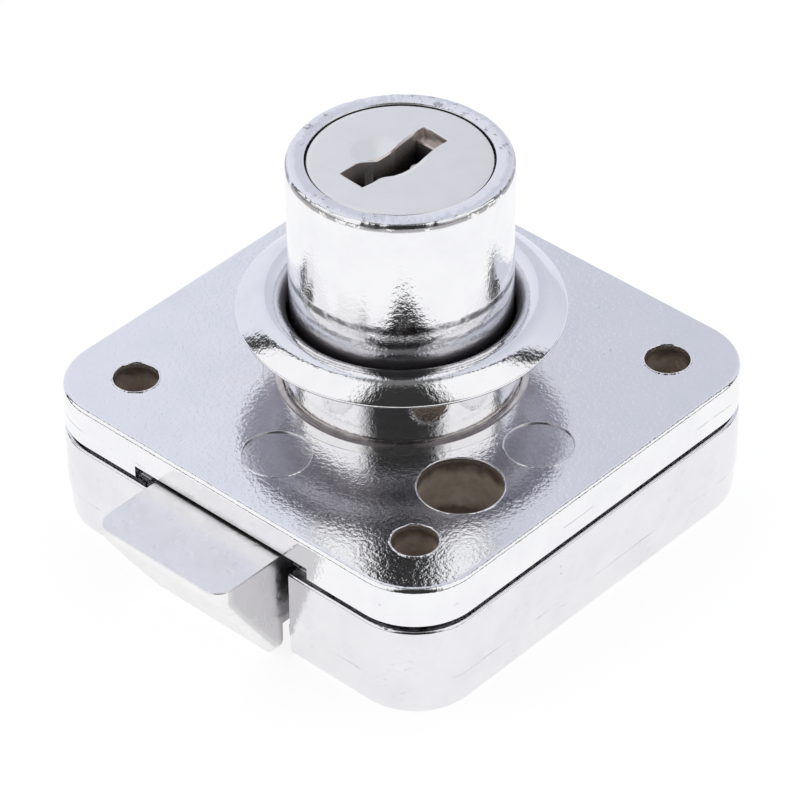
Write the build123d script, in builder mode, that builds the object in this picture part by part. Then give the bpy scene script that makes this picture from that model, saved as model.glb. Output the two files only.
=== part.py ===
"""Key-operated slam lock: a square cast body with a round barrel and a sprung, bevelled bolt.

Sizes are in millimetres. The origin lies on the barrel's axis, in the plate's front face.
+Z points out of the front, along the barrel, and the bolt is thrown towards -Y.
"""

import os
from math import asin, cos, degrees, dist, pi, radians, sin, sqrt, tan

from build123d import *

os.makedirs("parts", exist_ok=True)

# Body outline and depths, each depth measured back from the front face
body_side = 40.0
corner_radius = 5.5
body_depth = 12.4
plate_wall = 1.8
skirt_depth = 3.5
skirt_wall = 1.0
plate_edge_round = 0.45
skirt_edge_round = 0.12
shadow_gap = 0.55
parting_depth = 9.1
case_draft = 4.0
case_edge_round = 0.8
case_top_round = 0.25
case_wall = 2.0
case_floor = 1.4
lip_fit = 0.1
lip_top_gap = 0.3

# Fixing holes, the large peg hole and the round ejector marks in the front face
fixing_spacing = 28.8
fixing_hole_radius = 1.8
fixing_boss_radius = 3.3
peg_hole_x = 12.7
peg_hole_y = -7.5
peg_hole_radius = 3.3
peg_boss_wall = 1.3
mark_circle_radius = 13.9
mark_radius = 2.7
mark_depth = 0.06

# Barrel, whose flange is let into the plate, and the trim ring that slides on it
barrel_radius = 8.55
flange_reach = 2.1
flange_thickness = 0.8
seat_fit = 0.02
barrel_height = 19.8
barrel_edge_bevel = 0.35
ring_fit = 0.15
ring_sheet = 0.5
ring_overhang = 4.05
ring_crown_height = 7.6
ring_roll_radius = 1.75
ring_slope = 22.0
ring_foot_gap = 0.02
ring_edge_round = 0.15

# Plug with its keyway
barrel_rim_wall = 1.45
plug_head_length = 1.6
plug_head_step = 0.25
plug_fit = 0.05
plug_recess = 0.2
plug_edge_bevel = 0.2
plug_tail_side = 3.4
plug_tail_length = 0.6
plug_shoulder_gap = 0.02
keyway_width = 2.55
keyway_top = 4.3
keyway_foot = -4.4
keyway_upper_x = -0.3
keyway_middle_x = 0.05
keyway_lower_x = -0.85
keyway_bend_height = 2.6
keyway_end_round = 0.12
keyway_bend_round = 1.2
keyway_bottom = 3.0
dimple_x = -2.0
dimple_y = -0.4
dimple_radius = 1.8
dimple_depth = 0.22
dimple_taper = 30

# Wafers, which slide across the plug along Y
wafer_count = 5
wafer_first_drop = 1.4
wafer_pitch = 2.6
wafer_thickness = 1.0
wafer_width = 6.2
wafer_slot_fit = 0.05
wafer_end_gap = 0.1
wafer_window_left = -2.3
wafer_window_right = 1.6
wafer_window_length = 7.6
wafer_window_step = 0.3
wafer_cuts = 3
lug_reach = 1.8
lug_height = 0.8
lug_middle = 0.6
groove_wall = 1.0
groove_side_gap = 0.15
groove_top_gap = 0.6

# Springs behind the wafer lugs
wafer_spring_radius = 0.5
wafer_wire = 0.25
wafer_spring_turns = 2
wafer_spring_length = 4.0
spring_pocket_gap = 0.1
pocket_clearance = 0.15

# Drive cam, its pin and its screw
cam_inset = 0.85
cam_thickness = 1.8
cam_gap = 0.1
bolt_stroke = 5.5
drive_pin_radius = 1.5
drive_pin_shank_radius = 1.0
drive_pin_end_gap = 0.3
drive_pin_bevel = 0.25
press_gap = 0.02
cam_screw_radius = 1.0
cam_screw_length = 4.2
cam_screw_head_radius = 2.2
cam_screw_head_height = 1.1
cam_screw_head_gap = 0.1
cam_screw_hole_extra = 0.5
square_fit = 0.03
stop_lug_width = 3.0
stop_lug_reach = 1.6
stop_peg_radius = 0.7
stop_peg_offset = 0.9
stop_gap = 0.1
stop_lug_clearance = 1.0

# Bolt, whose nose is bevelled on the closing side
bolt_middle = -0.38
bolt_width = 13.0
bolt_throw = 6.55
bolt_head_room = 0.25
bolt_head_gap = 0.25
bolt_head_clearance = 0.05
bolt_tail_room = 0.15
bolt_tail_thickness = 5.35
bolt_tail_end = 6.5
bolt_step_gap = 0.3
bolt_nose_height = 0.65
bolt_bevel_foot = 0.75
bolt_bevel_bulge = 0.1
bolt_corner_round = 1.5
bolt_bevel_round = 0.9
bolt_foot_round = 1.5
bolt_edge_break = 0.1
bolt_side_fit = 0.12
bolt_floor_fit = 0.1
drive_slack = 0.15
window_gap = 0.25
window_corner_round = 0.3

# Slot for the bolt in the skirt and in the case
notch_room_left = 2.2
notch_room_right = 2.6
notch_top = 2.4
slot_room = 0.7
slot_step = 0.15
slot_end_gap = 0.4
lip_room = 0.15
guide_wall = 1.4
guide_end = 7.0
rail_width = 1.4
rail_inset = 0.4
rail_start_inset = 1.5
rail_gap = 0.05

# Bolt springs and their seats
bolt_spring_offset = 3.7
bolt_spring_radius = 1.6
bolt_wire = 0.5
bolt_spring_turns = 6
spring_bore_depth = 3.0
spring_bore_gap = 0.2
spigot_radius = 1.15
spigot_length = 2.0
least_gap_allowed = 0.4
bolt_wire_sides = 6
wafer_wire_sides = 4
points_per_turn = 24

# Screws that hold the case to the plate
case_screw_x = 14.0
case_screw_radius = 1.25
case_screw_hole_gap = 0.15
case_screw_head_radius = 2.4
case_screw_head_sink = 0.05
case_screw_tip_depth = 1.0
case_screw_pilot_depth = 0.8
case_boss_radius = 2.7

# Sizes worked out from those above
half_side = body_side / 2
bolt_head_back = half_side + bolt_head_clearance
skirt_inner_side = body_side - 2 * skirt_wall
lip_side = skirt_inner_side - 2 * lip_fit
case_inner_side = body_side - 2 * case_wall
case_top = skirt_depth + shadow_gap
floor_top = body_depth - case_floor
plug_head_radius = barrel_radius - barrel_rim_wall - plug_fit
plug_body_radius = plug_head_radius - plug_head_step
groove_radius = barrel_radius - groove_wall
flange_radius = barrel_radius + flange_reach
cam_radius = barrel_radius - cam_inset
stop_lug_radius = cam_radius + stop_lug_reach
stop_circle_radius = cam_radius + stop_peg_offset
plug_face_height = barrel_height - plug_recess
plug_shoulder_height = plug_face_height - plug_head_length
cam_top = plate_wall + cam_gap
cam_bottom = cam_top + cam_thickness
bolt_left = bolt_middle - bolt_width / 2
bolt_right = bolt_middle + bolt_width / 2
bolt_head_top = notch_top + bolt_head_room
bolt_head_bottom = body_depth - bolt_head_gap
bolt_tail_top = cam_bottom + bolt_tail_room
bolt_tail_bottom = bolt_tail_top + bolt_tail_thickness
bolt_step = stop_lug_radius + bolt_stroke + bolt_step_gap
notch_left = bolt_left - notch_room_left
notch_right = bolt_right + notch_room_right
drive_pin_offset = bolt_stroke / sqrt(2)
drive_pin_rest = drive_pin_offset * cos(radians(45))
drive_face = drive_pin_radius + drive_slack - drive_pin_rest
wafer_radius = plug_body_radius - wafer_end_gap
case_inner_face = case_inner_side / 2
slot_end = bolt_stroke + slot_end_gap - bolt_head_back
wafer_first_height = plug_shoulder_height - wafer_first_drop
wafer_heights = [wafer_first_height - wafer_pitch * k for k in range(wafer_count)]
lug_x = wafer_width / 2 + lug_reach / 2
lug_foot = lug_middle - lug_height / 2
bolt_spring_height = -(bolt_tail_top + bolt_tail_bottom) / 2
bolt_spring_foot = bolt_tail_end - spring_bore_depth


def fixing_points():
    """The four corner holes."""
    return GridLocations(fixing_spacing, fixing_spacing, 2, 2)


def case_screw_points():
    """The two screws at the middle of the left and right sides."""
    return GridLocations(2 * case_screw_x, 1, 2, 1)


def wafer_turn(k):
    """Every second wafer is turned half round, so that its spring pushes the other way."""
    return 180 * (k % 2)


def stop_pegs():
    """The two places, a quarter turn apart, where a peg stops the lug of the cam."""
    step = degrees(asin((stop_lug_width / 2 + stop_peg_radius + stop_gap) / stop_circle_radius))
    angles = (radians(step), radians(-90 - step))
    return [(stop_circle_radius * cos(a), stop_circle_radius * sin(a)) for a in angles]


def keyway_corners():
    """The corners of the keyway: a slot whose lower end steps towards -X."""
    half = keyway_width / 2
    centre = (
        (keyway_upper_x, keyway_top),
        (keyway_middle_x, 0),
        (keyway_middle_x, -keyway_bend_height / 2),
        (keyway_lower_x, -keyway_bend_height),
        (keyway_lower_x, keyway_foot),
    )
    left = [(x - half, y) for x, y in centre]
    right = [(x + half, y) for x, y in reversed(centre)]
    return left + right


def biarc(start, start_way, end, end_way):
    """Two arcs that leave start along start_way and arrive at end along end_way."""
    reach = end - start
    spread = reach.dot(start_way + end_way)
    bend = 2 * (start_way.dot(end_way) - 1)
    if abs(bend) < 1e-9:
        step = reach.dot(reach) / (2 * spread)
    else:
        step = (spread - sqrt(spread**2 - bend * reach.dot(reach))) / bend
    middle = (start + end + (start_way - end_way) * step) / 2
    first = TangentArc(start, middle, tangent=start_way)
    TangentArc(middle, end, tangent=first % 1)


def helix_point(radius, pitch, turn, foot):
    angle = 2 * pi * turn
    return Vector(radius * cos(angle), radius * sin(angle), foot + pitch * turn)


def helix_way(radius, pitch, turn):
    angle = 2 * pi * turn
    rise = pitch / (2 * pi)
    return Vector(-radius * sin(angle), radius * cos(angle), rise).normalized()


def least_gap(path, wire, turns):
    """The least space between one turn and the next, from points along the path."""
    steps = points_per_turn * turns
    points = [tuple(path @ (k / steps)) for k in range(steps + 1)]
    pairs = ((a, b) for a in range(steps) for b in range(a + points_per_turn // 2, steps))
    return min(dist(points[a], points[b]) for a, b in pairs) - wire


def spring(radius, wire, turns, length, wire_sides):
    """One unbroken coil along +Z from the origin, with a short straight run at each end."""
    up = Vector(0, 0, 1)
    lead = 2 * wire
    lead_turn = lead / (2 * pi * radius)
    foot = wire + lead
    pitch = (length - 2 * foot) / turns
    entry = helix_point(radius, 0, -lead_turn, wire)
    leave = helix_point(radius, 0, turns + lead_turn, length - wire)
    with BuildLine() as path:
        Line(entry - up * wire, entry)
        biarc(entry, up, helix_point(radius, pitch, 0, foot), helix_way(radius, pitch, 0))
        for half in range(2 * turns):
            ends = (half / 2, (half + 1) / 2)
            here, there = (helix_point(radius, pitch, turn, foot) for turn in ends)
            this_way, that_way = (helix_way(radius, pitch, turn) for turn in ends)
            biarc(here, this_way, there, that_way)
        last = helix_point(radius, pitch, turns, foot)
        biarc(last, helix_way(radius, pitch, turns), leave, up)
        Line(leave, leave + up * wire)
    gap = least_gap(path.wire(), wire, turns)
    print(f"spring {length:.2f} long: least gap between its turns {gap:.2f}")
    assert gap > least_gap_allowed
    with BuildPart() as coil:
        with BuildSketch(Plane(origin=entry - up * wire, z_dir=up)):
            RegularPolygon(wire / 2, wire_sides)
        sweep(path=path.wire())
    return coil.part


# Front plate: a shallow cast lid with a seat for the barrel
with BuildPart() as front_plate:
    with BuildSketch():
        RectangleRounded(body_side, body_side, corner_radius)
    extrude(amount=-skirt_depth)
    fillet(front_plate.edges().group_by(Axis.Z)[-1], plate_edge_round)
    fillet(front_plate.edges().group_by(Axis.Z)[0], skirt_edge_round)
    with BuildSketch(Plane.XY.offset(-plate_wall)):
        RectangleRounded(skirt_inner_side, skirt_inner_side, corner_radius - skirt_wall)
    extrude(amount=plate_wall - skirt_depth, mode=Mode.SUBTRACT)
    # Bosses round the holes, down to the level of the skirt
    with BuildSketch(Plane.XY.offset(-plate_wall)):
        with fixing_points():
            Circle(fixing_boss_radius)
        with Locations((peg_hole_x, peg_hole_y)):
            Circle(peg_hole_radius + peg_boss_wall)
        with case_screw_points():
            Circle(case_boss_radius)
    extrude(amount=plate_wall - skirt_depth)
    # Two rails that keep the bolt down on the floor of the case
    with BuildSketch(Plane.XY.offset(-plate_wall)):
        rail_start = skirt_inner_side / 2 - rail_start_inset
        rail_length = rail_start - stop_lug_radius - stop_lug_clearance
        rail_middle = rail_length / 2 - rail_start
        for edge, side in ((bolt_left, 1), (bolt_right, -1)):
            with Locations((edge + side * (rail_inset + rail_width / 2), rail_middle)):
                Rectangle(rail_width, rail_length)
    extrude(amount=plate_wall - bolt_head_top + rail_gap)
    # Two pegs that stop the lug of the cam
    with BuildSketch(Plane.XY.offset(-plate_wall)):
        with Locations(*stop_pegs()):
            Circle(stop_peg_radius)
    extrude(amount=plate_wall - cam_bottom)
    # Stepped seat for the barrel
    with BuildSketch():
        Circle(flange_radius + seat_fit)
    extrude(amount=-flange_thickness - seat_fit, mode=Mode.SUBTRACT)
    with BuildSketch():
        Circle(barrel_radius + seat_fit)
    extrude(amount=-plate_wall, mode=Mode.SUBTRACT)
    # Notch in the skirt, over the bolt
    with BuildSketch(Plane.XY.offset(-notch_top)):
        with Locations(((notch_left + notch_right) / 2, -half_side)):
            Rectangle(notch_right - notch_left, 3 * skirt_wall)
    extrude(amount=notch_top - skirt_depth, mode=Mode.SUBTRACT)
    # Holes, pilot holes and the shallow round marks
    with fixing_points():
        Hole(fixing_hole_radius)
    with Locations((peg_hole_x, peg_hole_y)):
        Hole(peg_hole_radius)
    with BuildSketch(Plane.XY.offset(-skirt_depth)):
        with case_screw_points():
            Circle(case_screw_radius + press_gap)
    extrude(amount=skirt_depth - case_screw_pilot_depth, mode=Mode.SUBTRACT)
    with BuildSketch():
        with PolarLocations(mark_circle_radius, 4):
            Circle(mark_radius)
    extrude(amount=-mark_depth, mode=Mode.SUBTRACT)
front_plate.part.label = "front_plate"
export_step(front_plate.part, "parts/front_plate.step")

# Barrel: a stepped tube, grooved inside, with a flange set level with the plate
with BuildPart() as barrel:
    with BuildSketch(Plane.XY.offset(-plate_wall)):
        Circle(barrel_radius)
    extrude(amount=plate_wall + barrel_height)
    chamfer(barrel.edges().group_by(Axis.Z)[-1], barrel_edge_bevel)
    with BuildSketch(Plane.XY.offset(-flange_thickness)):
        Circle(flange_radius)
    extrude(amount=flange_thickness)
    with BuildSketch(Plane.XY.offset(barrel_height)):
        Circle(plug_head_radius + plug_fit)
    extrude(amount=plug_shoulder_height - barrel_height, mode=Mode.SUBTRACT)
    with BuildSketch(Plane.XY.offset(barrel_height)):
        Circle(plug_body_radius + plug_fit)
    extrude(amount=-barrel_height - plate_wall, mode=Mode.SUBTRACT)
    # Four grooves down the bore take the wafer ends
    with BuildSketch(Plane.XY.offset(-plate_wall)):
        groove_width = wafer_width + 2 * groove_side_gap
        Rectangle(groove_width, 2 * groove_radius)
        Rectangle(2 * groove_radius, groove_width)
        Circle(groove_radius, mode=Mode.INTERSECT)
    extrude(amount=plate_wall + wafer_first_height + groove_top_gap, mode=Mode.SUBTRACT)
barrel.part.label = "barrel"
export_step(barrel.part, "parts/barrel.step")

# Trim ring: a drawn sheet collar, rolled outwards into a sloping flange
with BuildPart() as trim_ring:
    with BuildSketch(Plane.XZ) as ring_profile:
        with BuildLine():
            bore = barrel_radius + ring_fit
            roll_x = bore + ring_roll_radius
            roll_z = ring_crown_height - ring_roll_radius
            slope = radians(ring_slope)
            out = Vector(sin(slope), cos(slope))
            roll = Vector(roll_x, roll_z)
            top = roll + out * ring_roll_radius
            rim_x = barrel_radius + ring_overhang
            rim_top = Vector(rim_x, top.Y - (rim_x - top.X) * tan(slope))
            rim_low = rim_top - out * ring_sheet
            under = roll + out * (ring_roll_radius - ring_sheet)
            Line((bore, ring_foot_gap), (bore, roll_z))
            CenterArc(roll, ring_roll_radius, 180, -90 - ring_slope)
            Polyline(top, rim_top, rim_low, under)
            CenterArc(roll, ring_roll_radius - ring_sheet, 90 - ring_slope, 90 + ring_slope)
            Polyline(
                (bore + ring_sheet, roll_z),
                (bore + ring_sheet, ring_foot_gap),
                (bore, ring_foot_gap),
            )
        make_face()
        fillet(ring_profile.vertices().sort_by(Axis.X)[-2:], ring_edge_round)
    revolve(axis=Axis.Z)
trim_ring.part.label = "trim_ring"
export_step(trim_ring.part, "parts/trim_ring.step")

# Back case: a deep cast tray, drafted below its parting line
with BuildPart() as back_case:
    with BuildSketch(Plane.XY.offset(-case_top)):
        RectangleRounded(body_side, body_side, corner_radius)
    extrude(amount=case_top - parting_depth)
    with BuildSketch(Plane.XY.offset(-parting_depth)):
        RectangleRounded(body_side - 0.1, body_side - 0.1, corner_radius)
    extrude(amount=parting_depth - body_depth, taper=case_draft)
    fillet(back_case.edges().group_by(Axis.Z)[0], case_edge_round)
    fillet(back_case.edges().group_by(Axis.Z)[-1], case_top_round)
    # Lip that stands inside the skirt of the plate
    with BuildSketch(Plane.XY.offset(-case_top)):
        RectangleRounded(lip_side, lip_side, corner_radius - skirt_wall - lip_fit)
    extrude(amount=case_top - plate_wall - lip_top_gap)
    with BuildSketch(Plane.XY.offset(-floor_top)):
        RectangleRounded(case_inner_side, case_inner_side, corner_radius - case_wall)
    extrude(amount=floor_top, mode=Mode.SUBTRACT)
    # Bosses that meet those of the plate
    with BuildSketch(Plane.XY.offset(-floor_top)):
        with fixing_points():
            Circle(fixing_boss_radius)
        with Locations((peg_hole_x, peg_hole_y)):
            Circle(peg_hole_radius + peg_boss_wall)
        with case_screw_points():
            Circle(case_boss_radius)
    extrude(amount=floor_top - skirt_depth)
    # Guide walls beside the bolt, and two floor rails under its tail
    with BuildSketch(Plane.XY.offset(-floor_top)):
        guide_length = guide_end - slot_end
        for edge, side in ((bolt_left, -1), (bolt_right, 1)):
            with Locations((edge + side * (bolt_side_fit + guide_wall / 2), slot_end + guide_length / 2)):
                Rectangle(guide_wall, guide_length)
    extrude(amount=floor_top - case_top)
    with BuildSketch(Plane.XY.offset(-floor_top)):
        for edge, side in ((bolt_left, 1), (bolt_right, -1)):
            with Locations((edge + side * (rail_inset + rail_width / 2), slot_end + guide_length / 2)):
                Rectangle(rail_width, guide_length)
    extrude(amount=floor_top - bolt_tail_bottom - bolt_floor_fit)
    # Spigots that hold the far ends of the bolt springs
    with BuildSketch(Plane.XZ.offset(-case_inner_face)):
        for side in (-1, 1):
            with Locations((bolt_middle + side * bolt_spring_offset, bolt_spring_height)):
                Circle(spigot_radius)
    extrude(amount=spigot_length)
    # Slot for the bolt: closest in the lip, then through the wall, and on into the floor
    for slot_width, upper, lower in (
        (bolt_width + 2 * lip_room, plate_wall, case_top),
        (bolt_width + 2 * slot_room, case_top, parting_depth),
        (bolt_width + 2 * slot_room - 2 * slot_step, parting_depth, body_depth),
    ):
        with BuildSketch(Plane.XY.offset(-upper)):
            with Locations((bolt_middle, (slot_end - half_side) / 2)):
                Rectangle(slot_width, half_side + slot_end)
        extrude(amount=upper - lower, mode=Mode.SUBTRACT)
    # Holes, and countersinks for the case screws
    with fixing_points():
        Hole(fixing_hole_radius)
    with Locations((peg_hole_x, peg_hole_y)):
        Hole(peg_hole_radius)
    with case_screw_points():
        Hole(case_screw_radius + case_screw_hole_gap)
    with BuildSketch(Plane.XY.offset(-body_depth)):
        with case_screw_points():
            Circle(case_screw_head_radius + case_screw_hole_gap)
    extrude(amount=case_screw_head_radius, taper=45, mode=Mode.SUBTRACT)
back_case.part.label = "back_case"
export_step(back_case.part, "parts/back_case.step")

# Latch bolt: bevelled head, thinner tail, window for the drive pin, bores for the springs
with BuildPart() as latch_bolt:
    nose = -(half_side + bolt_throw)
    with BuildSketch(Plane.YZ.offset(bolt_left)):
        with BuildLine():
            bevel_top = (nose, -bolt_head_top - bolt_nose_height)
            bevel_foot = (-(bolt_head_back + bolt_bevel_foot), -bolt_head_bottom)
            Polyline((-bolt_step, -bolt_head_top), (nose, -bolt_head_top), bevel_top)
            SagittaArc(bevel_top, bevel_foot, -bolt_bevel_bulge)
            Polyline(
                bevel_foot,
                (-bolt_head_back, -bolt_head_bottom),
                (-bolt_head_back, -bolt_tail_bottom),
                (bolt_tail_end, -bolt_tail_bottom),
                (bolt_tail_end, -bolt_tail_top),
                (-bolt_step, -bolt_tail_top),
                (-bolt_step, -bolt_head_top),
            )
        make_face()
    extrude(amount=bolt_width)
    nose_corners = latch_bolt.edges().filter_by(Axis.Z).group_by(Axis.Y)[0]
    fillet(nose_corners, bolt_corner_round)
    bevel_sides = latch_bolt.edges().filter_by(GeomType.CIRCLE).filter_by(Plane.YZ)
    fillet(bevel_sides, bolt_bevel_round)
    fillet(latch_bolt.edges().group_by(Axis.Z)[-1], bolt_edge_break)
    # The head's lower side edges are well rounded
    with BuildSketch(Plane.XZ.offset(-bolt_tail_end)) as girth:
        with Locations((bolt_middle, -bolt_head_bottom / 2)):
            Rectangle(bolt_width, bolt_head_bottom)
        fillet(girth.vertices().group_by(Axis.Y)[0], bolt_foot_round)
    extrude(amount=bolt_tail_end - nose, mode=Mode.INTERSECT)
    # Window that the drive pin pushes on, long enough for the bolt to be slammed in alone
    with BuildSketch(Plane.XY.offset(-bolt_tail_top)):
        window_left = -drive_pin_offset - drive_pin_radius - window_gap
        window_right = drive_pin_radius + window_gap - drive_pin_rest
        window_foot = -drive_pin_rest - drive_pin_radius - bolt_stroke - window_gap
        with Locations(((window_left + window_right) / 2, (window_foot + drive_face) / 2)):
            Rectangle(window_right - window_left, drive_face - window_foot)
    extrude(amount=-bolt_tail_thickness, mode=Mode.SUBTRACT)
    window_corners = latch_bolt.edges().filter_by(Axis.Z).group_by(Axis.Y)
    fillet(window_corners[-2] + window_corners[-3], window_corner_round)
    # Blind bores for the two springs
    with BuildSketch(Plane.XZ.offset(-bolt_tail_end)):
        for side in (-1, 1):
            with Locations((bolt_middle + side * bolt_spring_offset, bolt_spring_height)):
                Circle(bolt_spring_radius + bolt_wire / 2 + spring_bore_gap)
    extrude(amount=spring_bore_depth, mode=Mode.SUBTRACT)
    chamfer(latch_bolt.edges().group_by(Axis.Y)[-1], bolt_edge_break)
latch_bolt.part.label = "latch_bolt"
export_step(latch_bolt.part, "parts/latch_bolt.step")

# Plug: turned body with a wider face, keyway, wafer slots, spring pockets and a square tail
with BuildPart() as plug:
    with BuildSketch(Plane.XY.offset(-cam_top)):
        Circle(plug_body_radius)
    extrude(amount=cam_top + plug_shoulder_height + plug_shoulder_gap)
    with BuildSketch(Plane.XY.offset(plug_shoulder_height + plug_shoulder_gap)):
        Circle(plug_head_radius)
    extrude(amount=plug_head_length - plug_shoulder_gap)
    chamfer(plug.edges().group_by(Axis.Z)[-1], plug_edge_bevel)
    with BuildSketch(Plane.XY.offset(plug_face_height)):
        with Locations((dimple_x, dimple_y)):
            Circle(dimple_radius)
    extrude(amount=-dimple_depth, taper=dimple_taper, mode=Mode.SUBTRACT)
    with BuildSketch(Plane.XY.offset(keyway_bottom)) as keyway:
        with BuildLine():
            Polyline(keyway_corners(), close=True)
        make_face()
        rows = keyway.vertices().group_by(Axis.Y)
        fillet(rows[0] + rows[-1], keyway_end_round)
        bends = keyway.vertices().filter_by_position(Axis.Y, -keyway_bend_height, 0)
        fillet(bends, keyway_bend_round)
    extrude(amount=plug_face_height - keyway_bottom, mode=Mode.SUBTRACT)
    # Square tail for the cam, with the pilot hole for its screw
    with BuildSketch(Plane.XY.offset(-cam_top)):
        Rectangle(plug_tail_side, plug_tail_side)
    extrude(amount=-plug_tail_length)
    with BuildSketch(Plane.XY.offset(-cam_top - plug_tail_length)):
        Circle(cam_screw_radius + press_gap)
    extrude(amount=cam_screw_length + cam_screw_hole_extra, mode=Mode.SUBTRACT)
    for k in range(wafer_count):
        # Slot right across for the wafer, and a side recess for its lug
        with BuildSketch(Plane.XY.offset(wafer_heights[k] - wafer_thickness - wafer_slot_fit)):
            Rectangle(wafer_width + 2 * wafer_slot_fit, 4 * plug_body_radius)
            with Locations(Rotation(0, 0, wafer_turn(k))):
                with Locations((lug_x, lug_foot + plug_body_radius)):
                    Rectangle(lug_reach + 2 * pocket_clearance, 2 * plug_body_radius)
        extrude(amount=wafer_thickness + 2 * wafer_slot_fit, mode=Mode.SUBTRACT)
        # Square pocket for the spring below the lug
        middle = wafer_heights[k] - wafer_thickness / 2
        pocket_side = 2 * (wafer_spring_radius + spring_pocket_gap) + wafer_wire
        with Locations(Location((0, 0, middle), (0, 0, wafer_turn(k)))):
            with Locations((lug_x, lug_foot - wafer_spring_length, 0)):
                Box(
                    pocket_side,
                    2 * plug_body_radius,
                    pocket_side,
                    align=(Align.CENTER, Align.MIN, Align.CENTER),
                    mode=Mode.SUBTRACT,
                )
plug.part.label = "plug"
export_step(plug.part, "parts/plug.step")

# Wafers: stamped plates with a window for the key and a lug for the spring
for k in range(wafer_count):
    with BuildPart() as wafer:
        with BuildSketch(Plane.XY.offset(wafer_heights[k] - wafer_thickness)):
            with Locations(Rotation(0, 0, wafer_turn(k))):
                Circle(wafer_radius)
                Rectangle(wafer_width, 2 * wafer_radius, mode=Mode.INTERSECT)
                with Locations((lug_x - lug_reach / 2, lug_middle)):
                    Rectangle(2 * lug_reach, lug_height)
            window_shift = wafer_window_step * (k % wafer_cuts - 1)
            with Locations(((wafer_window_left + wafer_window_right) / 2, window_shift)):
                Rectangle(wafer_window_right - wafer_window_left, wafer_window_length, mode=Mode.SUBTRACT)
        extrude(amount=wafer_thickness)
    wafer.part.label = f"wafer_{k + 1}"
    export_step(wafer.part, f"parts/wafer_{k + 1}.step")

# Wafer springs: each stands between the floor of its pocket and the lug of its wafer
wafer_coil = spring(
    wafer_spring_radius, wafer_wire, wafer_spring_turns, wafer_spring_length, wafer_wire_sides
)
for k in range(wafer_count):
    middle = wafer_heights[k] - wafer_thickness / 2
    with BuildPart() as wafer_spring:
        with Locations(Location((0, 0, middle), (0, 0, wafer_turn(k)))):
            with Locations(Location((lug_x, lug_foot - wafer_spring_length, 0), (-90, 0, 0))):
                add(wafer_coil)
    wafer_spring.part.label = f"wafer_spring_{k + 1}"
    export_step(wafer_spring.part, f"parts/wafer_spring_{k + 1}.step")

# Drive cam: a disc with a stop lug, square hole, sunk screw seat and hole for its pin
with BuildPart() as drive_cam:
    with BuildSketch(Plane.XY.offset(-cam_bottom)):
        Circle(cam_radius)
        with Locations((stop_lug_radius / 2, 0)):
            Rectangle(stop_lug_radius, stop_lug_width)
        Rectangle(plug_tail_side + 2 * square_fit, plug_tail_side + 2 * square_fit, mode=Mode.SUBTRACT)
        with Locations((-drive_pin_rest, -drive_pin_rest)):
            Circle(drive_pin_shank_radius + press_gap, mode=Mode.SUBTRACT)
    extrude(amount=cam_thickness)
    with BuildSketch(Plane.XY.offset(-cam_bottom)):
        Circle(cam_screw_head_radius + cam_screw_head_gap)
    extrude(amount=cam_screw_head_height, mode=Mode.SUBTRACT)
drive_cam.part.label = "drive_cam"
export_step(drive_cam.part, "parts/drive_cam.step")

# Drive pin: a shouldered pin whose thin end is fixed in the cam
with BuildPart() as drive_pin:
    with BuildSketch(Plane.XY.offset(-cam_bottom)):
        with Locations((-drive_pin_rest, -drive_pin_rest)):
            Circle(drive_pin_radius)
    extrude(amount=cam_bottom - bolt_tail_bottom + drive_pin_end_gap)
    chamfer(drive_pin.edges().group_by(Axis.Z)[0], drive_pin_bevel)
    with BuildSketch(Plane.XY.offset(-cam_bottom)):
        with Locations((-drive_pin_rest, -drive_pin_rest)):
            Circle(drive_pin_shank_radius)
    extrude(amount=cam_thickness)
drive_pin.part.label = "drive_pin"
export_step(drive_pin.part, "parts/drive_pin.step")

# Cam screw: cheese head sunk in the cam
with BuildPart() as cam_screw:
    with BuildSketch(Plane.XY.offset(-cam_bottom)):
        Circle(cam_screw_head_radius)
    extrude(amount=cam_screw_head_height)
    with BuildSketch(Plane.XY.offset(-cam_bottom + cam_screw_head_height)):
        Circle(cam_screw_radius)
    extrude(amount=cam_screw_length)
cam_screw.part.label = "cam_screw"
export_step(cam_screw.part, "parts/cam_screw.step")

# Case screws: two alike, countersunk, put in from the back
with BuildPart() as case_screws:
    with BuildSketch(Plane.XY.offset(case_screw_head_sink - body_depth)):
        with case_screw_points():
            Circle(case_screw_radius)
    extrude(amount=body_depth - case_screw_head_sink - case_screw_tip_depth)
    with BuildSketch(Plane.XY.offset(case_screw_head_sink - body_depth)):
        with case_screw_points():
            Circle(case_screw_head_radius)
    extrude(amount=case_screw_head_radius - case_screw_radius, taper=45)
case_screws.part.label = "case_screws"
export_step(case_screws.part, "parts/case_screws.step")

# Bolt springs: each stands between its bore in the bolt and the far wall of the case
bolt_coil = spring(
    bolt_spring_radius,
    bolt_wire,
    bolt_spring_turns,
    case_inner_face - bolt_spring_foot,
    bolt_wire_sides,
)
for side, name in ((-1, "left"), (1, "right")):
    seat = (bolt_middle + side * bolt_spring_offset, bolt_spring_foot, bolt_spring_height)
    with BuildPart() as bolt_spring:
        with Locations(Location(seat, (-90, 0, 0))):
            add(bolt_coil)
    bolt_spring.part.label = f"bolt_spring_{name}"
    export_step(bolt_spring.part, f"parts/bolt_spring_{name}.step")
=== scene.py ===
"""Chrome slam lock on a pale floor, seen as in the photograph.

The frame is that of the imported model, in metres: +Z out of the front, the bolt towards -Y. Shapes and
textures are given in millimetres, and MM takes them to metres. A pair of numbers is where a fade starts
and where it ends.
"""

from math import cos, pi, radians, sin

import bmesh
import bpy
from mathutils import Matrix, Vector, noise


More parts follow.
